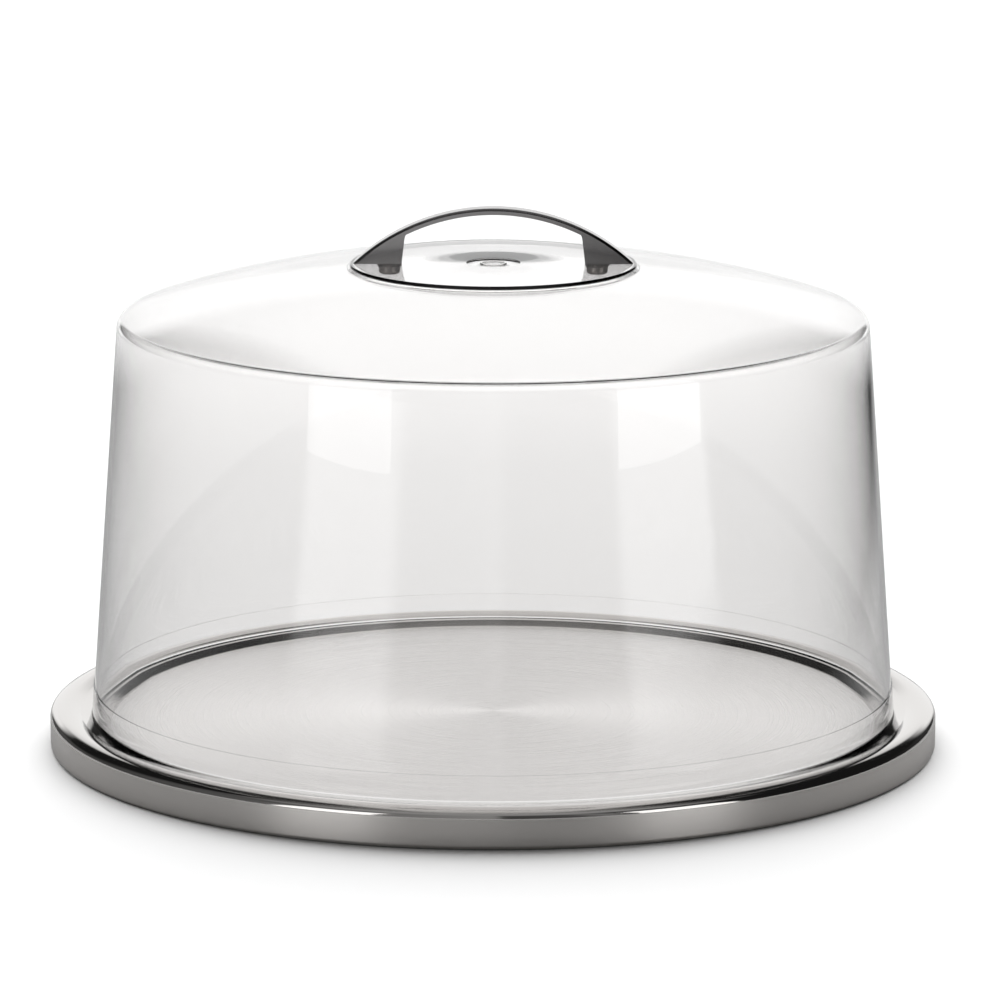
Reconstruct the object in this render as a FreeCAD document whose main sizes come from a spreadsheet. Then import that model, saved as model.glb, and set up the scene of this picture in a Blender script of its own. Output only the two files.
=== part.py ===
import FreeCAD, Part
import os
import re

import Sketcher

# A covered cake plate: a low pressed-steel plate, and a clear moulded cover that lifts off by
# an arched metal handle. Two screws with toothed washers hold the handle from inside the cover.
# Millimetres; +Z up; the origin is the middle of the plate, on the table; the handle lies along X.

SIZES = {
    # cake plate, pressed from one disc of sheet steel
    "plate_radius": 171.5,
    "rim_height": 15.0,
    "sheet_steel": 1.0,
    "crest_ring": 165.0,
    "crest_curve": 11.9,
    "rim_round": 2.2,
    "ledge_height": 13.7,
    "ledge_ring": 150.6,
    "floor_height": 11.5,
    "floor_ring": 147.2,
    "bend_round": 2.4,
    "hem_width": 5.0,
    "hem_height": 4.0,
    "hem_round": 2.0,
    # cover, moulded in clear plastic
    "seat_gap": 0.1,
    "cover_wall": 2.0,
    "draft_angle": 4.06,
    "band_height": 10.1,
    "band_extra": 0.4,
    "band_round": 0.8,
    "shoulder_ring": 139.66,
    "shoulder_level": 149.69,
    "shoulder_round": 4.7,
    "shoulder_slope": 19.1,
    "boss_slope": 4.9,
    "boss_radius": 56.2,
    "boss_height": 1.7,
    "boss_flank": 1.7,
    "boss_round": 0.6,
    "gate_radius": 10.3,
    "gate_depth": 0.5,
    "gate_ring_outer": 5.1,
    "gate_ring_inner": 4.2,
    # handle, cast metal
    "handle_length": 106.8,
    "handle_width": 8.0,
    "handle_rise": 21.4,
    "handle_curve": 78.4,
    "tip_height": 0.4,
    "bow_thickness": 2.4,
    "bow_under_curve": 76.0,
    "foot_reach": 35.1,
    "foot_top_reach": 33.8,
    "foot_round": 4.0,
    "handle_bevel": 0.95,
    # screws and toothed washers
    "screw_spacing": 79.5,
    "screw_diameter": 4.16,
    "screw_reach": 8.6,
    "screw_clearance": 0.25,
    "tapped_depth": 6.8,
    "tapped_gap": 0.05,
    "head_diameter": 8.2,
    "head_height": 2.8,
    "head_round": 1.2,
    "recess_width": 1.2,
    "recess_span": 4.6,
    "recess_depth": 1.7,
    "washer_bore": 4.4,
    "washer_ring": 6.8,
    "washer_diameter": 9.4,
    "washer_sheet": 0.5,
    "washer_height": 1.0,
    "tooth_width": 0.9,
    "tooth_count": 12,
}

doc = FreeCAD.newDocument("covered_cake_plate")
sheet = doc.addObject("Spreadsheet::Sheet", "Sizes")
for row, (alias, value) in enumerate(SIZES.items(), start=1):
    sheet.set(f"A{row}", alias)
    sheet.set(f"B{row}", str(value))
    sheet.setAlias(f"B{row}", alias)
doc.recompute()

FUNCTIONS = ("sqrt", "sin", "cos", "tan")


def bound(text):
    """Point each size named in a formula at its cell in the sheet."""
    def cell(word):
        name = word.group()
        return name if name in FUNCTIONS else "Sizes." + name
    return re.sub(r"[a-z][a-z_]+", cell, text)


def value_of(text):
    """Work a formula of named sizes out now, as a plain number."""
    return float(sheet.evalExpression(bound(text)))


def bind(feature, **formulas):
    """Bind properties of a feature to formulas of named sizes."""
    for name, formula in formulas.items():
        feature.setExpression(name, bound(formula))


def new_body(node):
    """Start the body of one piece, under the piece's own name."""
    body = doc.addObject("PartDesign::Body", node)
    body.Label = node
    return body


def new_sketch(body, name, plane, height=None):
    """Attach a sketch to one of the body's own origin planes, raised by a bound height."""
    sketch = body.newObject("Sketcher::SketchObject", name)
    for item in body.Origin.OriginFeatures:
        if item.Role == plane:
            sketch.AttachmentSupport = [(item, "")]
    sketch.MapMode = "FlatFace"
    if height is not None:
        sketch.setExpression(".AttachmentOffset.Base.z", bound(height))
    return sketch


def point_at(sketch, edge, place):
    """Tell which end of an edge, 1 or 2, lies at a place."""
    first = sketch.getPoint(edge, 1)
    last = sketch.getPoint(edge, 2)
    return 1 if first.distanceToPoint(place) < last.distanceToPoint(place) else 2


def constrain(sketch, kind, parts, formula):
    """Add one driving dimension and bind it to a formula."""
    number = sketch.addConstraint(Sketcher.Constraint(kind, *parts, value_of(formula)))
    sketch.setExpression(f"Constraints[{number}]", bound(formula))


def draw_outline(sketch, corners, curves=None, rounds=None):
    """Draw one closed outline. Each corner is a pair of formulas. curves gives the formula of the
    radius of the edge that starts at a corner, where it is an arc that bulges away from the
    origin. rounds gives the radius that rounds off a corner between two straight edges."""
    curves = curves or {}
    rounds = rounds or {}
    places = [FreeCAD.Vector(value_of(x), value_of(y), 0) for x, y in corners]
    edges = []
    for number, start in enumerate(places):
        end = places[(number + 1) % len(places)]
        if number in curves:
            radius = value_of(curves[number])
            half = (end - start).Length / 2
            sag = radius - (radius ** 2 - half ** 2) ** 0.5
            across = FreeCAD.Vector(start.y - end.y, end.x - start.x, 0).normalize()
            if (start + end).dot(across) < 0:
                across = -across
            middle = (start + end) / 2 + across * sag
            edge = Part.Arc(start, middle, end)
        else:
            edge = Part.LineSegment(start, end)
        edges.append(sketch.addGeometry(edge, False))
    for number, edge in enumerate(edges):
        start = places[number]
        before = edges[number - 1]
        here = point_at(sketch, edge, start)
        there = point_at(sketch, before, start)
        sketch.addConstraint(Sketcher.Constraint("Coincident", before, there, edge, here))
        constrain(sketch, "DistanceX", (-1, 1, edge, here), corners[number][0])
        constrain(sketch, "DistanceY", (-1, 1, edge, here), corners[number][1])
        if number in curves:
            constrain(sketch, "Radius", (edge,), curves[number])
    for number, radius in rounds.items():
        before = edges[number - 1]
        after = edges[number]
        near_before = places[number] + (places[number - 1] - places[number]).normalize()
        beyond = places[(number + 1) % len(places)]
        near_after = places[number] + (beyond - places[number]).normalize()
        sketch.fillet(before, after, near_before, near_after, value_of(radius), True, True)
        arc = sketch.GeometryCount - 2
        constrain(sketch, "Radius", (arc,), radius)


def draw_circle(sketch, radius, across="0"):
    """Draw one circle of a bound radius, its centre on the sketch's X axis."""
    centre = FreeCAD.Vector(value_of(across), 0, 0)
    ring = Part.Circle(centre, FreeCAD.Vector(0, 0, 1), value_of(radius))
    edge = sketch.addGeometry(ring, False)
    constrain(sketch, "DistanceX", (-1, 1, edge, 3), across)
    constrain(sketch, "DistanceY", (-1, 1, edge, 3), "0")
    constrain(sketch, "Radius", (edge,), radius)


def revolve(body, sketch, name):
    """Turn a section about the vertical axis of its own sketch."""
    turned = body.newObject("PartDesign::Revolution", name)
    turned.Profile = sketch
    turned.ReferenceAxis = (sketch, ["V_Axis"])
    turned.Angle = 360
    doc.recompute()
    return turned


def pad(body, sketch, name, length):
    """Raise a solid of bound length from a sketch."""
    raised = body.newObject("PartDesign::Pad", name)
    raised.Profile = sketch
    bind(raised, Length=length)
    doc.recompute()
    return raised


def pocket(body, sketch, name, depth, upwards=False):
    """Cut a pocket of bound depth, and stop if it takes nothing away."""
    before = body.Shape.Volume
    cut = body.newObject("PartDesign::Pocket", name)
    cut.Profile = sketch
    cut.Reversed = upwards
    bind(cut, Length=depth)
    doc.recompute()
    if body.Shape.Volume > before - 0.01:
        raise RuntimeError(f"{name} cuts nothing")
    return cut


def rings(shape, places):
    """Name the circular edges about the vertical axis that pass through (radius, height)."""
    names = []
    for radius, height in places:
        wanted_radius = value_of(radius)
        wanted_height = value_of(height)
        for number, edge in enumerate(shape.Edges, start=1):
            if not isinstance(edge.Curve, Part.Circle):
                continue
            off_ring = abs(edge.Curve.Radius - wanted_radius)
            off_height = abs(edge.Curve.Center.z - wanted_height)
            if off_ring + off_height < 0.01 and edge.Curve.Center.x ** 2 < 0.01:
                names.append(f"Edge{number}")
    if len(names) != len(places):
        raise RuntimeError(f"found {len(names)} of {len(places)} edges")
    return names


def dress(body, base, kind, name, edges, size):
    """Round or bevel some edges of the last feature by a bound size."""
    dressed = body.newObject(f"PartDesign::{kind}", name)
    dressed.Base = (base, edges)
    bind(dressed, **{"Radius" if kind == "Fillet" else "Size": size})
    doc.recompute()
    return dressed


def make_cake_plate():
    """One disc of sheet steel: a sunk floor, a ledge for the cover, a rounded rim, a straight
    skirt, and a hem turned in and up at the foot, which is what stands on the table."""
    body = new_body("cake_plate")
    crest_centre = "(rim_height - crest_curve)"
    round_across = "(plate_radius - rim_round - crest_ring)"
    round_up = f"sqrt((crest_curve - rim_round)^2 - {round_across}^2)"

    def crease(lift):
        """Where the crest's arc, lowered by lift, meets the ledge, lowered by lift."""
        return (f"crest_ring - sqrt((crest_curve - {lift})^2"
                f" - (ledge_height - {lift} - {crest_centre})^2)")

    def rim_joint(lift):
        """Where the crest's arc, lowered by lift, runs into the rim's smaller round."""
        share = f"(crest_curve - {lift}) / (crest_curve - rim_round)"
        return (f"crest_ring + {share} * {round_across}", f"{crest_centre} + {share} * {round_up}")

    skirt_top = f"{crest_centre} + {round_up}"
    skirt_inside = "plate_radius - sheet_steel"
    hem_inside = "plate_radius - hem_width"
    inner_round = "hem_round - sheet_steel"
    section = new_sketch(body, "plate_section", "XZ_Plane")
    draw_outline(section, [
        ("0", "floor_height"),
        ("floor_ring", "floor_height"),
        ("ledge_ring", "ledge_height"),
        (crease("0"), "ledge_height"),
        rim_joint("0"),
        ("plate_radius", skirt_top),
        ("plate_radius", "0"),
        (hem_inside, "0"),
        (hem_inside, "hem_height"),
        (f"{hem_inside} + sheet_steel", "hem_height"),
        (f"{hem_inside} + sheet_steel", "sheet_steel"),
        (skirt_inside, "sheet_steel"),
        (skirt_inside, skirt_top),
        rim_joint("sheet_steel"),
        (crease("sheet_steel"), "ledge_height - sheet_steel"),
        ("ledge_ring + sheet_steel * 0.3", "ledge_height - sheet_steel"),
        ("floor_ring + sheet_steel * 0.3", "floor_height - sheet_steel"),
        ("0", "floor_height - sheet_steel"),
    ], curves={3: "crest_curve", 4: "rim_round",
               12: "rim_round - sheet_steel", 13: "crest_curve - sheet_steel"},
       rounds={1: "bend_round", 2: "bend_round - sheet_steel",
               15: "bend_round", 16: "bend_round - sheet_steel",
               6: "hem_round", 7: "hem_round", 10: inner_round, 11: inner_round})
    revolve(body, section, "pressed_plate")
    return body


CROWN_REACH = "(shoulder_ring + shoulder_round * sin(shoulder_slope) - boss_radius)"
CROWN_CURVE = f"({CROWN_REACH} / (sin(shoulder_slope) - sin(boss_slope)))"
CROWN_CENTRE = f"(shoulder_level - ({CROWN_CURVE} - shoulder_round) * cos(shoulder_slope))"
BOSS_FOOT = f"({CROWN_CENTRE} + {CROWN_CURVE} * cos(boss_slope))"
BOSS_TOP = f"({BOSS_FOOT} + boss_height)"
COVER_SEAT = "ledge_height + seat_gap"


def make_dome_cover():
    """A moulded shell: a stiffening band at the foot, a slightly tapered wall, a tight shoulder,
    a shallow crown, and a round raised boss in the middle for the handle."""
    body = new_body("dome_cover")

    def wall_at(height, depth):
        """The wall's radius at a height, at a depth under its outer surface."""
        return (f"shoulder_ring + (shoulder_round - {depth}) / cos(draft_angle)"
                f" + (shoulder_level - {height}) * tan(draft_angle)")

    def shoulder_end(angle_across, angle_up, depth):
        """One end of the shoulder's round, at a depth under its outer surface."""
        return (f"shoulder_ring + (shoulder_round - {depth}) * {angle_across}",
                f"shoulder_level + (shoulder_round - {depth}) * {angle_up}")

    wall_end = ("cos(draft_angle)", "sin(draft_angle)")
    crown_end = ("sin(shoulder_slope)", "cos(shoulder_slope)")
    inside_boss = "(boss_radius - cover_wall * 0.4)"
    crown_axis = f"(shoulder_ring - ({CROWN_CURVE} - shoulder_round) * sin(shoulder_slope))"
    inside_boss_foot = (f"{CROWN_CENTRE} + sqrt(({CROWN_CURVE} - cover_wall)^2"
                        f" - ({inside_boss} - {crown_axis})^2)")
    section = new_sketch(body, "cover_section", "XZ_Plane")
    draw_outline(section, [
        (wall_at("0", "cover_wall"), "0"),
        (wall_at("0", "0") + " + band_extra", "0"),
        (wall_at("band_height", "0") + " + band_extra", "band_height"),
        (wall_at("band_height", "0"), "band_height"),
        shoulder_end(*wall_end, "0"),
        shoulder_end(*crown_end, "0"),
        ("boss_radius", BOSS_FOOT),
        ("boss_radius - boss_flank", BOSS_TOP),
        ("0", BOSS_TOP),
        ("0", f"{BOSS_TOP} - cover_wall"),
        (f"{inside_boss} - boss_flank", f"{BOSS_TOP} - cover_wall"),
        (inside_boss, inside_boss_foot),
        shoulder_end(*crown_end, "cover_wall"),
        shoulder_end(*wall_end, "cover_wall"),
    ], curves={4: "shoulder_round", 5: CROWN_CURVE,
               11: f"{CROWN_CURVE} - cover_wall", 12: "shoulder_round - cover_wall"},
       rounds={0: "band_round", 1: "band_round", 7: "boss_round", 10: "boss_round"})
    revolve(body, section, "cover_shell")
    for name, offset in (("left_screw_hole", "-screw_spacing / 2"),
                         ("right_screw_hole", "screw_spacing / 2")):
        drilled = new_sketch(body, f"{name}_ring", "XY_Plane", BOSS_TOP)
        draw_circle(drilled, "screw_diameter / 2 + screw_clearance", offset)
        pocket(body, drilled, name, "cover_wall + boss_height")
    gate = new_sketch(body, "gate_rings", "XY_Plane", BOSS_TOP)
    draw_circle(gate, "gate_radius")
    draw_circle(gate, "gate_ring_outer")
    draw_circle(gate, "gate_ring_inner")
    pocket(body, gate, "gate_recess", "gate_depth")
    body.setExpression(".Placement.Base.z", bound(COVER_SEAT))
    return body


def make_handle():
    """A cast pull: a thin arched bow that runs down into two fin-shaped feet, bevelled along
    both upper edges, with a tapped hole in the underside of each foot."""
    body = new_body("lift_handle")
    corner_height = ("handle_rise - bow_thickness - bow_under_curve"
                     " + sqrt(bow_under_curve^2 - foot_top_reach^2)")
    side = new_sketch(body, "handle_side", "XZ_Plane")
    draw_outline(side, [
        ("handle_length / 2", "0"),
        ("handle_length / 2", "tip_height"),
        ("-handle_length / 2", "tip_height"),
        ("-handle_length / 2", "0"),
        ("-foot_reach", "0"),
        ("-foot_top_reach", corner_height),
        ("foot_top_reach", corner_height),
        ("foot_reach", "0"),
    ], curves={1: "handle_curve", 5: "bow_under_curve"})
    bow = pad(body, side, "handle_blank", "handle_width")
    bow.SideType = "Symmetric"
    doc.recompute()
    top_edges = []
    for number, edge in enumerate(bow.Shape.Edges, start=1):
        if isinstance(edge.Curve, Part.Circle):
            if abs(edge.Curve.Radius - value_of("handle_curve")) < 0.01:
                top_edges.append(f"Edge{number}")
    bow = dress(body, bow, "Chamfer", "upper_bevels", top_edges, "handle_bevel")
    inner_corners = []
    for number, edge in enumerate(bow.Shape.Edges, start=1):
        runs_across = edge.BoundBox.YLength > value_of("handle_width") - 0.01
        if runs_across and abs(edge.CenterOfMass.z - value_of(corner_height)) < 0.01:
            inner_corners.append(f"Edge{number}")
    dress(body, bow, "Fillet", "foot_rounds", inner_corners, "foot_round")
    for name, offset in (("left_tapped_hole", "-screw_spacing / 2"),
                         ("right_tapped_hole", "screw_spacing / 2")):
        drilled = new_sketch(body, f"{name}_ring", "XY_Plane")
        draw_circle(drilled, "screw_diameter / 2 + tapped_gap", offset)
        pocket(body, drilled, name, "tapped_depth", upwards=True)
    body.setExpression(".Placement.Base.z", bound(f"{COVER_SEAT} + {BOSS_TOP}"))
    return body


UNDER_BOSS = f"{COVER_SEAT} + {BOSS_TOP} - cover_wall"


def make_screw(node, offset):
    """A pan-head screw with a cross recess, its head down, inside the cover."""
    body = new_body(node)
    section = new_sketch(body, "screw_section", "XZ_Plane")
    draw_outline(section, [
        ("0", "-head_height"),
        ("head_diameter / 2", "-head_height"),
        ("head_diameter / 2", "0"),
        ("screw_diameter / 2", "0"),
        ("screw_diameter / 2", "screw_reach"),
        ("0", "screw_reach"),
    ])
    screw = revolve(body, section, "turned_screw")
    dress(body, screw, "Fillet", "head_round", rings(screw.Shape, [
        ("head_diameter / 2", "-head_height")]), "head_round")
    for name, along, across in (("long_slot", "recess_span", "recess_width"),
                                ("cross_slot", "recess_width", "recess_span")):
        slot = new_sketch(body, name, "XY_Plane", "-head_height")
        draw_outline(slot, [
            (f"-{along} / 2", f"-{across} / 2"),
            (f"{along} / 2", f"-{across} / 2"),
            (f"{along} / 2", f"{across} / 2"),
            (f"-{along} / 2", f"{across} / 2"),
        ])
        pocket(body, slot, f"{name}_cut", "recess_depth", upwards=True)
    body.setExpression(".Placement.Base.x", bound(offset))
    body.setExpression(".Placement.Base.z", bound(f"{UNDER_BOSS} - washer_height"))
    return body


def make_washer(node, offset):
    """A toothed lock washer: a flat ring whose outer teeth are each given a twist."""
    body = new_body(node)
    base = new_sketch(body, "washer_rings", "XY_Plane", "(washer_height - washer_sheet) / 2")
    draw_circle(base, "washer_ring / 2")
    draw_circle(base, "washer_bore / 2")
    pad(body, base, "washer_ring_pad", "washer_sheet")
    tooth = new_sketch(body, "tooth_section", "YZ_Plane", "washer_ring / 2 - tooth_width / 2")
    draw_outline(tooth, [
        ("-tooth_width / 2", "0"),
        ("0", "0"),
        ("tooth_width / 2", "washer_height"),
        ("0", "washer_height"),
    ])
    teeth = pad(body, tooth, "tooth",
                "(washer_diameter - washer_ring + tooth_width) / 2")
    pattern = body.newObject("PartDesign::PolarPattern", "teeth")
    pattern.Originals = [teeth]
    pattern.Axis = (base, ["N_Axis"])
    pattern.Angle = 360
    pattern.Occurrences = int(value_of("tooth_count"))
    body.Tip = pattern
    body.setExpression(".Placement.Base.x", bound(offset))
    body.setExpression(".Placement.Base.z", bound(f"{UNDER_BOSS} - washer_height"))
    return body


pieces = [make_cake_plate(), make_dome_cover(), make_handle()]
for side_name, side_offset in (("left", "-screw_spacing / 2"), ("right", "screw_spacing / 2")):
    pieces.append(make_screw(f"{side_name}_handle_screw", side_offset))
    pieces.append(make_washer(f"{side_name}_lock_washer", side_offset))
doc.recompute()

for item in doc.Objects:
    if "Invalid" in item.State or "Error" in item.State:
        raise RuntimeError(f"{item.Name} failed: {item.State}")
for piece in pieces:
    if piece.Shape.isNull() or not piece.Shape.isValid() or not piece.Shape.Solids:
        raise RuntimeError(f"{piece.Label} has no valid solid")

os.makedirs("parts", exist_ok=True)
for piece in pieces:
    piece.Shape.exportStep(f"parts/{piece.Label}.step")
    box = piece.Shape.BoundBox
    print(piece.Label, "solids", len(piece.Shape.Solids), "volume", round(piece.Shape.Volume, 1),
          "z", round(box.ZMin, 2), round(box.ZMax, 2), "x", round(box.XMin, 2), round(box.XMax, 2))
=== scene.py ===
# A covered cake plate: a low stainless-steel plate, and a clear plastic cover that lifts off by
# an arched metal handle, screwed on from inside. Metres; the middle of the plate is the origin.
import math

import bpy
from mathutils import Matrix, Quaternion, Vector


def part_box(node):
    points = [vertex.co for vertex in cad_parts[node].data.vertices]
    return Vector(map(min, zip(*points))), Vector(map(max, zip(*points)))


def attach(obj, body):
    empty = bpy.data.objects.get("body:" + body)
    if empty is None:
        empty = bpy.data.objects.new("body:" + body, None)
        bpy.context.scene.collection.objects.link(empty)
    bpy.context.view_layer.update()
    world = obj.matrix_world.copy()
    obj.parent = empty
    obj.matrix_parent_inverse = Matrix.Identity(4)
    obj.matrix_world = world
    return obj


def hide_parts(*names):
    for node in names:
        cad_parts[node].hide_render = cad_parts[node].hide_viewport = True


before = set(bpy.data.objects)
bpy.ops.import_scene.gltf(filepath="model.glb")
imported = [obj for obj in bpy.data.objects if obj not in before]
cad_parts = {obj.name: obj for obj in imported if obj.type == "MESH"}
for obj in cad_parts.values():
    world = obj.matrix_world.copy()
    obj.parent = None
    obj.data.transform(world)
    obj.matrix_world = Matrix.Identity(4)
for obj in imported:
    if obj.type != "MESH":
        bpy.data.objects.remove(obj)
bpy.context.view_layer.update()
MM = 0.001

# Cake plate
# One disc of stainless sheet, spun and pressed: a sunk floor brushed in circles, a flat ledge
# for the cover, a polished round rim, and a satin skirt hemmed inwards at its foot.
PLATE_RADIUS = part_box("cake_plate")[1].x
RIM_TOP = 15.0 * MM
SHEET = 1.0 * MM
CREST_RING = 165.0 * MM
CREST_CURVE = 11.9 * MM
RIM_CURVE = 2.2 * MM
LEDGE_TOP = 13.7 * MM
LEDGE_RING = 150.6 * MM
FLOOR_TOP = 11.5 * MM
FLOOR_RING = 147.2 * MM
BEND = 2.4 * MM
HEM_WIDTH = 5.0 * MM
HEM_HEIGHT = 4.0 * MM
HEM_CURVE = 2.0 * MM
UNDER_SHIFT = 0.3 * SHEET
MIDDLE_RING = 20 * MM
INNER_RING = 60 * MM
OUTER_RING = 110 * MM
RING_SIDES = 288
SAME_PLACE = 2e-6
SMOOTH_UNDER = math.radians(30)


def arc(across, up, radius, start, end, steps):
    """Rings along an arc about (across, up); its angles run in degrees from straight up."""
    rings = []
    for step in range(steps + 1):
        angle = math.radians(start + (end - start) * step / steps)
        rings.append((across + radius * math.sin(angle), up + radius * math.cos(angle), 0))
    return rings


def ring_edges(piece, radius, height):
    """Select the edges that run round the axis at one radius and height."""
    for edge in piece.data.edges:
        spots = [piece.data.vertices[number].co for number in edge.vertices]
        edge.select = all(abs(spot.xy.length - radius) < SAME_PLACE
                          and abs(spot.z - height) < SAME_PLACE for spot in spots)


def turn_on_axis(name, profile):
    """Turn a closed shape out of a disc: each ring of the profile, given as its radius, height
    and rounding, is extruded from the last, and the rings with a rounding are then bevelled."""
    bpy.ops.object.select_all(action="DESELECT")
    radius, height = profile[0][:2]
    bpy.ops.mesh.primitive_circle_add(vertices=RING_SIDES, radius=radius, fill_type="TRIFAN",
                                      location=(0, 0, height))
    piece = bpy.context.object
    piece.name = name
    bpy.ops.object.transform_apply()
    bpy.ops.object.mode_set(mode="EDIT")
    bpy.ops.mesh.select_all(action="SELECT")
    bpy.ops.mesh.region_to_loop()
    for next_radius, next_height, _ in profile[1:]:
        bpy.ops.mesh.extrude_region_move(
            TRANSFORM_OT_translate={"value": (0, 0, next_height - height)})
        growth = next_radius / radius
        bpy.ops.transform.resize(value=(growth, growth, 1), center_override=(0, 0, next_height))
        radius, height = next_radius, next_height
    bpy.ops.mesh.extrude_region_move()
    bpy.ops.mesh.merge(type="CENTER")
    bpy.ops.mesh.select_all(action="SELECT")
    bpy.ops.mesh.normals_make_consistent(inside=False)
    bpy.ops.mesh.select_all(action="DESELECT")
    bpy.ops.object.mode_set(mode="OBJECT")
    for before, ring, after in zip(profile, profile[1:], profile[2:]):
        if ring[2] == 0:
            continue
        ring_edges(piece, ring[0], ring[1])
        arriving = Vector((ring[0] - before[0], ring[1] - before[1]))
        leaving = Vector((after[0] - ring[0], after[1] - ring[1]))
        bpy.ops.object.mode_set(mode="EDIT")
        bpy.ops.mesh.select_mode(type="EDGE")
        bpy.ops.mesh.bevel(offset=ring[2] * math.tan(arriving.angle(leaving) / 2), segments=8,
                           profile=0.5, affect="EDGES", clamp_overlap=False)
        bpy.ops.mesh.select_all(action="DESELECT")
        bpy.ops.object.mode_set(mode="OBJECT")
    return piece


crest_up = RIM_TOP - CREST_CURVE
rim_across = PLATE_RADIUS - RIM_CURVE - CREST_RING
rim_up = math.sqrt((CREST_CURVE - RIM_CURVE) ** 2 - rim_across ** 2)
rim_angle = math.degrees(math.atan2(rim_across, rim_up))
crease_angle = -math.degrees(math.acos((LEDGE_TOP - crest_up) / CREST_CURVE))
under_crease_angle = -math.degrees(math.acos((LEDGE_TOP - SHEET - crest_up)
                                             / (CREST_CURVE - SHEET)))
plate_profile = [
    (MIDDLE_RING, FLOOR_TOP, 0),
    (INNER_RING, FLOOR_TOP, 0),
    (OUTER_RING, FLOOR_TOP, 0),
    (FLOOR_RING, FLOOR_TOP, BEND),
    (LEDGE_RING, LEDGE_TOP, BEND - SHEET),
    *arc(CREST_RING, crest_up, CREST_CURVE, crease_angle, rim_angle, 28),
    *arc(PLATE_RADIUS - RIM_CURVE, crest_up + rim_up, RIM_CURVE, rim_angle, 90, 12)[1:],
    (PLATE_RADIUS, 0, HEM_CURVE),
    (PLATE_RADIUS - HEM_WIDTH, 0, HEM_CURVE),
    (PLATE_RADIUS - HEM_WIDTH, HEM_HEIGHT, 0),
    (PLATE_RADIUS - HEM_WIDTH + SHEET, HEM_HEIGHT, 0),
    (PLATE_RADIUS - HEM_WIDTH + SHEET, SHEET, HEM_CURVE - SHEET),
    (PLATE_RADIUS - SHEET, SHEET, HEM_CURVE - SHEET),
    *arc(PLATE_RADIUS - RIM_CURVE, crest_up + rim_up, RIM_CURVE - SHEET, 90, rim_angle, 6),
    *arc(CREST_RING, crest_up, CREST_CURVE - SHEET, rim_angle, under_crease_angle, 14)[1:],
    (LEDGE_RING + UNDER_SHIFT, LEDGE_TOP - SHEET, BEND),
    (FLOOR_RING + UNDER_SHIFT, FLOOR_TOP - SHEET, BEND - SHEET),
    (OUTER_RING, FLOOR_TOP - SHEET, 0),
    (MIDDLE_RING, FLOOR_TOP - SHEET, 0),
]
plate = turn_on_axis("steel_plate", plate_profile)
bpy.ops.object.shade_smooth_by_angle(angle=SMOOTH_UNDER)


def new_finish(name, color, metallic, roughness):
    """Start a material, and return it with its nodes, its links and its main shader."""
    finish = bpy.data.materials.new(name)
    finish.use_nodes = True
    nodes = finish.node_tree.nodes
    shader = nodes["Principled BSDF"]
    shader.inputs["Base Color"].default_value = (*color, 1)
    shader.inputs["Metallic"].default_value = metallic
    shader.inputs["Roughness"].default_value = roughness
    return finish, nodes, finish.node_tree.links, shader


# Fine brush lines: long thin noise along one direction of the coordinate that it is given.
grain = bpy.data.node_groups.new("brush_grain", "ShaderNodeTree")
grain.interface.new_socket("Vector", in_out="INPUT", socket_type="NodeSocketVector")
for label, value in (("Lowest", 0.2), ("Highest", 0.4)):
    socket = grain.interface.new_socket(label, in_out="INPUT", socket_type="NodeSocketFloat")
    socket.default_value = value
grain.interface.new_socket("Roughness", in_out="OUTPUT", socket_type="NodeSocketFloat")
grain.interface.new_socket("Height", in_out="OUTPUT", socket_type="NodeSocketFloat")
entry = grain.nodes.new("NodeGroupInput")
fine = grain.nodes.new("ShaderNodeTexNoise")
fine.inputs["Scale"].default_value = 1
fine.inputs["Detail"].default_value = 4
grain.links.new(entry.outputs["Vector"], fine.inputs["Vector"])
spread = grain.nodes.new("ShaderNodeMapRange")
spread.inputs["From Min"].default_value = 0.3
spread.inputs["From Max"].default_value = 0.7
grain.links.new(fine.outputs["Fac"], spread.inputs["Value"])
grain.links.new(entry.outputs["Lowest"], spread.inputs["To Min"])
grain.links.new(entry.outputs["Highest"], spread.inputs["To Max"])
leave = grain.nodes.new("NodeGroupOutput")
grain.links.new(spread.outputs["Result"], leave.inputs["Roughness"])
grain.links.new(fine.outputs["Fac"], leave.inputs["Height"])


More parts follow.
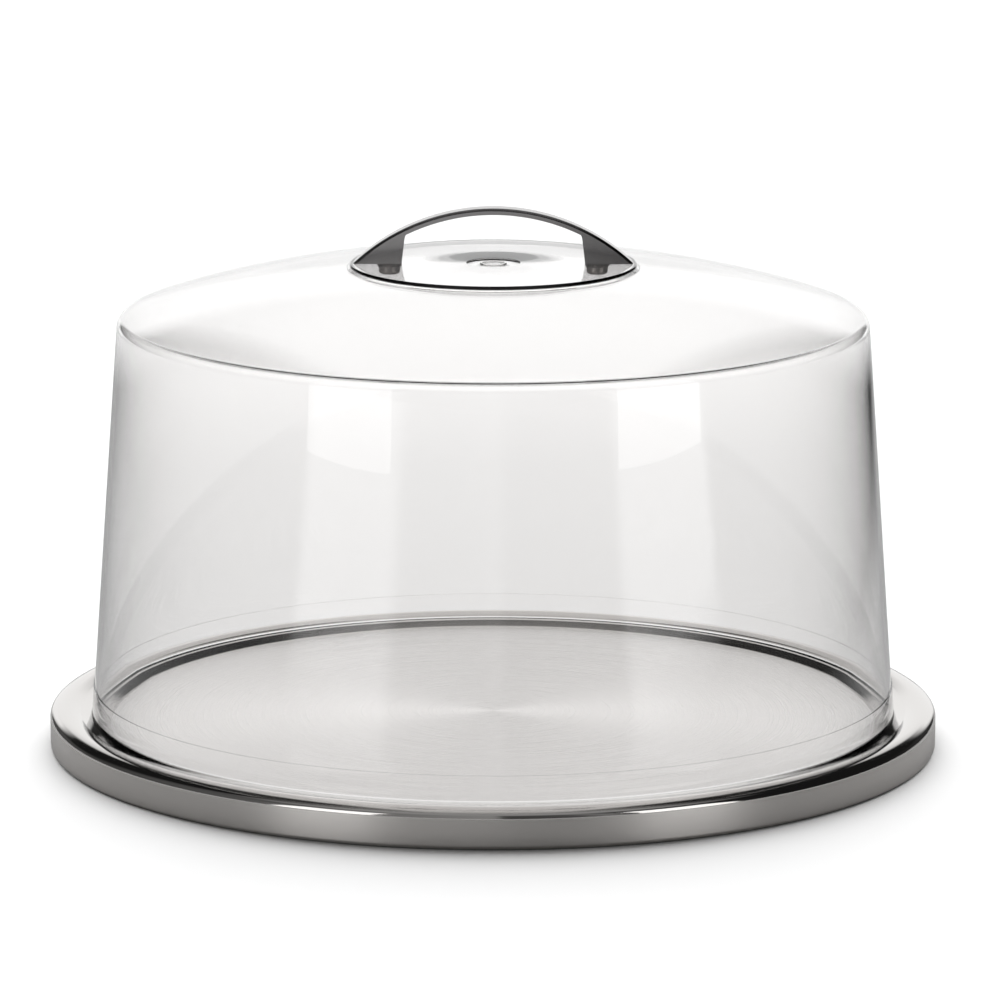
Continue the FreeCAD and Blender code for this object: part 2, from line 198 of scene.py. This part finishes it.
def brush(nodes, links, shader, stretch, roughness, depth):
    """Lay brush lines that run round the axis. stretch is how many fit in a metre of radius,
    in a turn, and in a metre of height; roughness is their lowest and highest."""
    place = nodes.new("ShaderNodeTexCoord")
    split = nodes.new("ShaderNodeSeparateXYZ")
    links.new(place.outputs["Object"], split.inputs[0])
    flat = nodes.new("ShaderNodeCombineXYZ")
    links.new(split.outputs["X"], flat.inputs["X"])
    links.new(split.outputs["Y"], flat.inputs["Y"])
    radius = nodes.new("ShaderNodeVectorMath")
    radius.operation = "LENGTH"
    links.new(flat.outputs[0], radius.inputs[0])
    angle = nodes.new("ShaderNodeVectorMath")
    angle.operation = "NORMALIZE"
    links.new(flat.outputs[0], angle.inputs[0])
    turned = nodes.new("ShaderNodeSeparateXYZ")
    links.new(angle.outputs["Vector"], turned.inputs[0])
    parts = []
    for source, amount in ((radius.outputs["Value"], stretch[0]),
                           (turned.outputs["X"], stretch[1]),
                           (split.outputs["Z"], stretch[2])):
        scaled = nodes.new("ShaderNodeMath")
        scaled.operation = "MULTIPLY"
        scaled.inputs[1].default_value = amount
        links.new(source, scaled.inputs[0])
        parts.append(scaled)
    joined = nodes.new("ShaderNodeCombineXYZ")
    for number, scaled in enumerate(parts):
        links.new(scaled.outputs[0], joined.inputs[number])
    lines = nodes.new("ShaderNodeGroup")
    lines.node_tree = grain
    lines.inputs["Lowest"].default_value = roughness[0]
    lines.inputs["Highest"].default_value = roughness[1]
    links.new(joined.outputs[0], lines.inputs["Vector"])
    links.new(lines.outputs["Roughness"], shader.inputs["Roughness"])
    bump = nodes.new("ShaderNodeBump")
    bump.inputs["Strength"].default_value = depth
    bump.inputs["Distance"].default_value = 0.02 * MM
    links.new(lines.outputs["Height"], bump.inputs["Height"])
    links.new(bump.outputs["Normal"], shader.inputs["Normal"])


def brush_round(nodes, links, shader, amount):
    """Draw the gloss out across brush lines that run round the axis."""
    round_axis = nodes.new("ShaderNodeTangent")
    round_axis.direction_type = "RADIAL"
    round_axis.axis = "Z"
    links.new(round_axis.outputs["Tangent"], shader.inputs["Tangent"])
    shader.inputs["Anisotropic"].default_value = amount
    shader.inputs["Anisotropic Rotation"].default_value = 0.25


floor_steel, nodes, links, shader = new_finish("spun_brushed_steel", (0.9, 0.885, 0.875), 1, 0.3)
brush(nodes, links, shader, stretch=(4200, 1.2, 0), roughness=(0.19, 0.3), depth=0.06)
brush_round(nodes, links, shader, 0.75)

rim_steel, nodes, links, shader = new_finish("polished_rim_steel", (0.7, 0.68, 0.66), 1, 0.08)
brush(nodes, links, shader, stretch=(900, 2, 0), roughness=(0.05, 0.11), depth=0.05)

skirt_steel, nodes, links, shader = new_finish("satin_skirt_steel", (0.74, 0.715, 0.69), 1, 0.3)
brush(nodes, links, shader, stretch=(0, 3, 5200), roughness=(0.28, 0.4), depth=0.1)
brush_round(nodes, links, shader, 0.8)

for finish in (floor_steel, rim_steel, skirt_steel):
    plate.data.materials.append(finish)
skirt_top = crest_up + rim_up - 0.1 * MM
for face in plate.data.polygons:
    reach = face.center.xy.length
    under = face.normal.z < -0.3
    if reach > PLATE_RADIUS - 0.5 * MM and face.center.z < skirt_top:
        face.material_index = 2
    elif under or reach < FLOOR_RING - BEND / 3:
        face.material_index = 0
    else:
        face.material_index = 1
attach(plate, "plate")
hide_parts("cake_plate")

# Clear cover
# A moulded shell of clear plastic: a thicker band at the foot, a slightly tapered wall, a tight
# shoulder, a shallow crown and a raised boss, with a small ring left where the mould was filled.
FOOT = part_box("dome_cover")[0].z
WALL = 2.0 * MM
DRAFT = math.radians(4.06)
BAND_HEIGHT = 10.1 * MM
BAND_EXTRA = 0.4 * MM
BAND_ROUND = 0.8 * MM
SHOULDER_RING = 139.66 * MM
SHOULDER_LEVEL = 149.69 * MM
SHOULDER_CURVE = 4.7 * MM
SHOULDER_SLOPE = 19.1
BOSS_SLOPE = 4.9
BOSS_RADIUS = 56.2 * MM
BOSS_HEIGHT = 1.7 * MM
BOSS_ROUND = 0.6 * MM
BOSS_FLANK = 1.7 * MM
BOSS_INSET = 0.4 * WALL
BOSS_MIDDLE = 30 * MM
GATE_RADIUS = 10.3 * MM
GATE_RING = (4.2 * MM, 5.1 * MM)
GATE_DEPTH = 0.5 * MM
GATE_MIDDLE = 1.5 * MM
SCREW_SPACING = 79.5 * MM
HOLE_RADIUS = 2.33 * MM
DRILL_LENGTH = 10 * MM

slope_sine = math.sin(math.radians(SHOULDER_SLOPE))
boss_sine = math.sin(math.radians(BOSS_SLOPE))
crown_curve = ((SHOULDER_RING + SHOULDER_CURVE * slope_sine - BOSS_RADIUS)
               / (slope_sine - boss_sine))
crown_up = FOOT + SHOULDER_LEVEL - ((crown_curve - SHOULDER_CURVE)
                                    * math.cos(math.radians(SHOULDER_SLOPE)))
crown_across = SHOULDER_RING - (crown_curve - SHOULDER_CURVE) * slope_sine
inner_boss = BOSS_RADIUS - BOSS_INSET
inner_boss_slope = math.degrees(math.asin((inner_boss - crown_across) / (crown_curve - WALL)))
boss_top = crown_up + crown_curve * math.cos(math.radians(BOSS_SLOPE)) + BOSS_HEIGHT
wall_end = 90 - math.degrees(DRAFT)


def wall_radius(height, depth):
    """The wall's radius at a height over the foot, at a depth under its outer surface."""
    return (SHOULDER_RING + (SHOULDER_CURVE - depth) / math.cos(DRAFT)
            + (SHOULDER_LEVEL - height) * math.tan(DRAFT))


cover_profile = [
    (GATE_MIDDLE, boss_top - GATE_DEPTH, 0),
    (GATE_RING[0], boss_top - GATE_DEPTH, 0.1 * MM),
    (GATE_RING[0], boss_top, 0.1 * MM),
    (GATE_RING[1], boss_top, 0.1 * MM),
    (GATE_RING[1], boss_top - GATE_DEPTH, 0.1 * MM),
    (GATE_RADIUS, boss_top - GATE_DEPTH, 0.15 * MM),
    (GATE_RADIUS, boss_top, 0.15 * MM),
    (BOSS_MIDDLE, boss_top, 0),
    (BOSS_RADIUS - BOSS_FLANK, boss_top, BOSS_ROUND),
    *arc(crown_across, crown_up, crown_curve, BOSS_SLOPE, SHOULDER_SLOPE, 24),
    *arc(SHOULDER_RING, FOOT + SHOULDER_LEVEL, SHOULDER_CURVE, SHOULDER_SLOPE, wall_end, 16)[1:],
    *[(wall_radius(share * SHOULDER_LEVEL, 0), FOOT + share * SHOULDER_LEVEL, 0)
      for share in (0.8, 0.6, 0.4, 0.2)],
    (wall_radius(BAND_HEIGHT, 0), FOOT + BAND_HEIGHT, 0),
    (wall_radius(BAND_HEIGHT, 0) + BAND_EXTRA, FOOT + BAND_HEIGHT, 0),
    (wall_radius(0, 0) + BAND_EXTRA, FOOT, BAND_ROUND),
    (wall_radius(0, WALL), FOOT, BAND_ROUND),
    *[(wall_radius(share * SHOULDER_LEVEL, WALL), FOOT + share * SHOULDER_LEVEL, 0)
      for share in (0.2, 0.4, 0.6, 0.8)],
    *arc(SHOULDER_RING, FOOT + SHOULDER_LEVEL, SHOULDER_CURVE - WALL, wall_end,
         SHOULDER_SLOPE, 12),
    *arc(crown_across, crown_up, crown_curve - WALL, SHOULDER_SLOPE, inner_boss_slope, 24)[1:],
    (inner_boss - BOSS_FLANK, boss_top - WALL, BOSS_ROUND),
    (BOSS_MIDDLE, boss_top - WALL, 0),
    (GATE_MIDDLE, boss_top - WALL, 0),
]
cover = turn_on_axis("clear_cover_shell", cover_profile)


def cut_with(piece, tool):
    """Take the shape of a tool out of a piece, and throw the tool away."""
    bpy.ops.object.select_all(action="DESELECT")
    piece.select_set(True)
    bpy.context.view_layer.objects.active = piece
    cut = piece.modifiers.new("cut", "BOOLEAN")
    cut.object = tool
    cut.solver = "MANIFOLD"
    bpy.ops.object.modifier_apply(modifier=cut.name)
    bpy.data.objects.remove(tool)


for side in (-1, 1):
    bpy.ops.object.select_all(action="DESELECT")
    bpy.ops.mesh.primitive_cylinder_add(vertices=48, radius=HOLE_RADIUS, depth=DRILL_LENGTH,
                                        location=(side * SCREW_SPACING / 2, 0, boss_top))
    cut_with(cover, bpy.context.object)
bpy.ops.object.shade_smooth_by_angle(angle=SMOOTH_UNDER)

clear_plastic, nodes, links, shader = new_finish("clear_cover_plastic", (0.972, 0.966, 0.962),
                                                 0, 0.0)
shader.inputs["Transmission Weight"].default_value = 1
shader.inputs["IOR"].default_value = 1.49
cover.data.materials.clear()
cover.data.materials.append(clear_plastic)
cover.visible_shadow = False
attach(cover, "cover")
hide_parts("dome_cover")

# Handle
# A cast and polished pull: a thin bow that runs down into a fin-shaped foot at each end, with a
# flat bevel along both upper edges, and a tapped hole under each foot for its screw.
handle_low, handle_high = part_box("lift_handle")
HANDLE_FOOT = handle_low.z
HANDLE_WIDTH = 8.0 * MM
HANDLE_CURVE = 78.4 * MM
BOW_THICKNESS = 2.4 * MM
FOOT_REACH = 35.1 * MM
FOOT_TOP_REACH = 33.8 * MM
FOOT_ROUND = 4.0 * MM
TIP_REACH = handle_high.x
HANDLE_BEVEL = 0.95 * MM
TAP_RADIUS = 2.13 * MM
TAP_DEPTH = 6.8 * MM

bow_centre = Vector((0, 0, handle_high.z - HANDLE_CURVE))


def drum(radius, depth):
    """A drum on the bow's own axis, across the handle, with its faces in fine steps."""
    bpy.ops.object.select_all(action="DESELECT")
    bpy.ops.mesh.primitive_cylinder_add(vertices=720, radius=radius, depth=depth,
                                        location=bow_centre, rotation=(math.pi / 2, 0, 0))
    bpy.ops.object.transform_apply()
    return bpy.context.object


def slice_off(piece, place, outwards):
    """Cut a piece with a plane, drop what lies beyond it, and close the cut."""
    bpy.ops.object.mode_set(mode="EDIT")
    bpy.ops.mesh.select_all(action="SELECT")
    bpy.ops.mesh.bisect(plane_co=place, plane_no=outwards, use_fill=True, clear_outer=True,
                        threshold=1e-7)
    bpy.ops.mesh.select_all(action="DESELECT")
    bpy.ops.object.mode_set(mode="OBJECT")


def bevel_edges(piece, wanted, offset, segments):
    """Bevel the edges whose two ends are as wanted."""
    for edge in piece.data.edges:
        edge.select = wanted(*[piece.data.vertices[number].co for number in edge.vertices])
    bpy.ops.object.mode_set(mode="EDIT")
    bpy.ops.mesh.select_mode(type="EDGE")
    bpy.ops.mesh.bevel(offset=offset, segments=segments, profile=0.5, affect="EDGES",
                       clamp_overlap=False)
    bpy.ops.mesh.select_all(action="DESELECT")
    bpy.ops.object.mode_set(mode="OBJECT")


handle = drum(HANDLE_CURVE, HANDLE_WIDTH)
handle.name = "arched_handle"
bevel_edges(handle, lambda start, end: abs(start.y - end.y) < 1e-6, HANDLE_BEVEL, 1)
slice_off(handle, (0, 0, HANDLE_FOOT), (0, 0, -1))
for side in (-1, 1):
    slice_off(handle, (side * TIP_REACH, 0, 0), (side, 0, 0))

opening_curve = HANDLE_CURVE - BOW_THICKNESS
under_top = bow_centre.z + math.sqrt(opening_curve ** 2 - FOOT_TOP_REACH ** 2)
side_rise = under_top - HANDLE_FOOT
side_lean = FOOT_REACH - FOOT_TOP_REACH
opening = drum(opening_curve, 3 * HANDLE_WIDTH)
slice_off(opening, (0, 0, HANDLE_FOOT - 1 * MM), (0, 0, -1))
for side in (-1, 1):
    slice_off(opening, (side * FOOT_REACH, 0, HANDLE_FOOT), (side * side_rise, 0, side_lean))
corner_turn = math.atan2(side_rise, side_lean) - math.asin(FOOT_TOP_REACH / opening_curve)


def at_corner(start, end):
    """Whether an edge runs across the opening at one of its two upper corners."""
    return (abs(start.x - end.x) < 1e-6
            and abs(start.z - under_top) < 0.1 * MM
            and abs(abs(start.x) - FOOT_TOP_REACH) < 0.1 * MM)


bevel_edges(opening, at_corner, FOOT_ROUND * math.tan(corner_turn / 2), 12)
cut_with(handle, opening)
for side in (-1, 1):
    bpy.ops.object.select_all(action="DESELECT")
    bpy.ops.mesh.primitive_cylinder_add(vertices=48, radius=TAP_RADIUS, depth=2 * TAP_DEPTH,
                                        location=(side * SCREW_SPACING / 2, 0, HANDLE_FOOT))
    cut_with(handle, bpy.context.object)
bpy.ops.object.shade_smooth_by_angle(angle=math.radians(20))

handle_metal, nodes, links, shader = new_finish("polished_handle_metal", (0.41, 0.4, 0.4),
                                                1, 0.12)
handle.data.materials.clear()
handle.data.materials.append(handle_metal)
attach(handle, "cover")
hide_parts("lift_handle")

# Screws and toothed washers
# Zinc-plated steel: a pan-head screw and a toothed lock washer under each foot of the handle,
# tightened from inside the cover, so they are seen through its crown.
zinc, nodes, links, shader = new_finish("zinc_plated_steel", (0.38, 0.35, 0.33), 1, 0.25)
for node in ("left_handle_screw", "right_handle_screw", "left_lock_washer",
             "right_lock_washer"):
    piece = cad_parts[node]
    for place in piece.material_slots:
        place.material = zinc

# Floor
# A white sheet, evenly white where it is seen directly. Seen through the cover it carries painted
# shade: greyer near the object, brighter further off. Mirrored in the object it carries painted
# light
# and shade: darker, with two painted bright bands in front and a painted pale stretch behind.
FLOOR_WHITE = 0.88
# Tone of the painted pale stretch behind the object, seen only in reflections.
PAINTED_PALE_BEHIND = 0.8
bpy.ops.object.select_all(action="DESELECT")
bpy.ops.mesh.primitive_plane_add(size=60, location=(0, 0, 0))
floor = bpy.context.object
floor.name = "studio_floor"
white_sheet, nodes, links, shader = new_finish("white_sheet", (FLOOR_WHITE,) * 3, 0, 0.9)
shader.inputs["Specular IOR Level"].default_value = 0.1


def grey_ramp(nodes, links, source, low, high, steps):
    """Greys along a value that runs from low to high, given as places on it and their tones."""
    reach = nodes.new("ShaderNodeMapRange")
    reach.inputs["From Min"].default_value = low
    reach.inputs["From Max"].default_value = high
    links.new(source, reach.inputs["Value"])
    ramp = nodes.new("ShaderNodeValToRGB")
    links.new(reach.outputs["Result"], ramp.inputs["Fac"])
    stops = ramp.color_ramp.elements
    stops.remove(stops[1])
    for place, tone in steps:
        stop = stops.new((place - low) / (high - low))
        stop.color = (tone, tone, tone, 1)
    stops.remove(stops[0])
    return ramp.outputs["Color"]


def blend_tones(nodes, links, share, first, second):
    """Mix two colours by a share of the second."""
    mix = nodes.new("ShaderNodeMix")
    mix.data_type = "RGBA"
    links.new(share, mix.inputs["Factor"])
    for socket, tone in (("A", first), ("B", second)):
        entry = next(plug for plug in mix.inputs if plug.name == socket and plug.type == "RGBA")
        if isinstance(tone, float):
            entry.default_value = (tone, tone, tone, 1)
        else:
            links.new(tone, entry)
    return next(plug for plug in mix.outputs if plug.type == "RGBA")


def turn_from_back(nodes, links, place):
    """Split a place into x, y and z, and give its turn about the axis, in degrees: 0 is straight
    behind the object, 90 its right side."""
    split = nodes.new("ShaderNodeSeparateXYZ")
    links.new(place, split.inputs[0])
    radians = nodes.new("ShaderNodeMath")
    radians.operation = "ARCTAN2"
    links.new(split.outputs["X"], radians.inputs[0])
    links.new(split.outputs["Y"], radians.inputs[1])
    turn = nodes.new("ShaderNodeMath")
    turn.operation = "DEGREES"
    links.new(radians.outputs[0], turn.inputs[0])
    return split, turn.outputs[0]


def seen_straight(nodes, links):
    """1 for what is seen directly or straight through the cover, 0 for what is seen mirrored."""
    ray = nodes.new("ShaderNodeLightPath")
    mirrored = nodes.new("ShaderNodeMath")
    mirrored.operation = "SUBTRACT"
    links.new(ray.outputs["Ray Depth"], mirrored.inputs[0])
    links.new(ray.outputs["Transmission Depth"], mirrored.inputs[1])
    straight = nodes.new("ShaderNodeMath")
    straight.operation = "LESS_THAN"
    straight.inputs[1].default_value = 0.5
    links.new(mirrored.outputs[0], straight.inputs[0])
    return straight.outputs[0], ray.outputs["Is Camera Ray"]


place = nodes.new("ShaderNodeTexCoord")
split, turn = turn_from_back(nodes, links, place.outputs["Object"])
distance = nodes.new("ShaderNodeVectorMath")
distance.operation = "LENGTH"
links.new(place.outputs["Object"], distance.inputs[0])
# Painted light and shade seen only in reflections: the mirrored floor is painted darker towards the
# sides and near black on the right, with a painted pale stretch behind.
sheet = grey_ramp(nodes, links, split.outputs["X"], -1.0, 1.0,
                  ((-0.7, 0.2), (-0.38, 0.34), (0.3, 0.34), (0.42, 0.03)))
# Two painted bright bands ahead, front left and front right, stand in for soft-box light on the
# floor in front; the rest ahead is painted dark.
front = grey_ramp(nodes, links, turn, -180, 180,
                  ((-180, 0.36), (-155, 0.3), (-151, 1.05), (-127, 1.05), (-124, 0.2), (-60, 0.1),
                   (60, 0.02), (115, 0.02), (118, 0.95), (143, 0.95), (146, 0.15), (176, 0.08),
                   (179, 0.36)))
back = grey_ramp(nodes, links, split.outputs["Y"], -2.0, 2.0, ((0.8, 0.0), (1.1, 1.0)))
ahead = grey_ramp(nodes, links, split.outputs["Y"], -1.0, 1.0, ((-0.55, 1.0), (-0.3, 0.0)))
mirrored = blend_tones(nodes, links, ahead, blend_tones(nodes, links, back, sheet, PAINTED_PALE_BEHIND),
                       front)
# Painted shade seen only through the cover: the floor is painted greyer near the object and
# brighter further off, in place of the soft shadow the object would cast.
through = grey_ramp(nodes, links, distance.outputs["Value"], 0.0, 2.0,
                    ((0.25, 0.69), (0.55, 0.74), (0.8, 0.84), (1.1, 0.95)))
straight, direct = seen_straight(nodes, links)
tone = blend_tones(nodes, links, straight, mirrored, through)
links.new(blend_tones(nodes, links, direct, tone, FLOOR_WHITE), shader.inputs["Base Color"])
floor.data.materials.append(white_sheet)

# Studio light
# A dark room with a white strip straight behind; two tall soft boxes in front, left and right,
# seen only in reflections; and one wide soft lamp from high behind, which lights the floor.
FLOOR_LIGHT = 5.9
LAMP_TILT = -52
CEILING_TONE = 0.3
BACKDROP_WHITE = 1.1
world = bpy.data.worlds.new("studio")
bpy.context.scene.world = world
world.use_nodes = True
world.cycles.sampling_method = "NONE"
nodes, links = world.node_tree.nodes, world.node_tree.links
look = nodes.new("ShaderNodeTexCoord")
split, turn = turn_from_back(nodes, links, look.outputs["Generated"])
low_ring = grey_ramp(nodes, links, turn, -180, 180,
                     ((-180, 0.27), (-155, 0.2), (-110, 0.1), (-70, 0.06), (-20, 0.08), (-16, 1.05),
                      (16, 1.05), (20, 0.04), (60, 0.01), (140, 0.01), (150, 0.2), (158, 0.08),
                      (177, 0.06), (179, 0.27)))
high_ring = grey_ramp(nodes, links, turn, -180, 180,
                      ((-180, 0.27), (-155, 0.2), (-110, 0.1), (-70, 0.08), (-40, 0.01),
                       (-14, 0.01), (-11, 0.8), (11, 0.8), (14, 0.01), (140, 0.01), (150, 0.2),
                       (158, 0.08), (177, 0.06), (179, 0.27)))
above_back = grey_ramp(nodes, links, split.outputs["Z"], 0.0, 1.0, ((0.27, 0.0), (0.36, 1.0)))
ceiling = grey_ramp(nodes, links, split.outputs["Z"], 0.0, 1.0, ((0.8, 0.0), (0.95, 1.0)))
walls = blend_tones(nodes, links, above_back, low_ring, high_ring)
room = blend_tones(nodes, links, ceiling, walls, CEILING_TONE)
straight, direct = seen_straight(nodes, links)
links.new(blend_tones(nodes, links, straight, room, BACKDROP_WHITE),
          nodes["Background"].inputs["Color"])

overhead = bpy.data.lights.new("overhead_softbox", "SUN")
overhead.energy = FLOOR_LIGHT
overhead.angle = math.radians(90)
lamp = bpy.data.objects.new("overhead_softbox", overhead)
bpy.context.scene.collection.objects.link(lamp)
lamp.rotation_euler = (math.radians(LAMP_TILT), 0, 0)
lamp.visible_glossy = False
lamp.visible_transmission = False

for name, turned, distance, width, height, rise, power in (
        ("left_softbox", -42, 2.2, 1.0, 1.9, 0.95, 8.2),
        ("right_softbox", 49, 2.2, 1.02, 1.9, 0.95, 9)):
    panel = bpy.data.lights.new(name, "AREA")
    panel.shape = "RECTANGLE"
    panel.size = width
    panel.size_y = height
    panel.energy = power
    lamp = bpy.data.objects.new(name, panel)
    bpy.context.scene.collection.objects.link(lamp)
    way = math.radians(turned)
    lamp.location = (distance * math.sin(way), -distance * math.cos(way), rise)
    lamp.rotation_mode = "QUATERNION"
    lamp.rotation_quaternion = Vector((-lamp.location.x, -lamp.location.y, 0)).to_track_quat(
        "-Z", "Y")
    lamp.visible_camera = False
    lamp.visible_diffuse = False
    lamp.visible_transmission = False

# Camera
# A long lens, a little above the cover, looking slightly down at it.
CAMERA_PLACE = (0, -2.44935, 0.60088)
PITCH = 0.20375
YAW = 0.00108
ROLL = 0.00107
LENS = 233.36
SENSOR = 36
camera_data = bpy.data.cameras.new("studio_camera")
camera_data.sensor_width = SENSOR
camera_data.lens = LENS
camera = bpy.data.objects.new("studio_camera", camera_data)
bpy.context.scene.collection.objects.link(camera)
camera.location = CAMERA_PLACE
forward = Vector((math.sin(YAW) * math.cos(PITCH), math.cos(YAW) * math.cos(PITCH),
                  -math.sin(PITCH)))
camera.rotation_mode = "QUATERNION"
camera.rotation_quaternion = forward.to_track_quat("-Z", "Y") @ Quaternion((0, 0, 1), ROLL)
camera_data.clip_end = 100
bpy.context.scene.camera = camera
bpy.context.scene.view_settings.view_transform = "Standard"
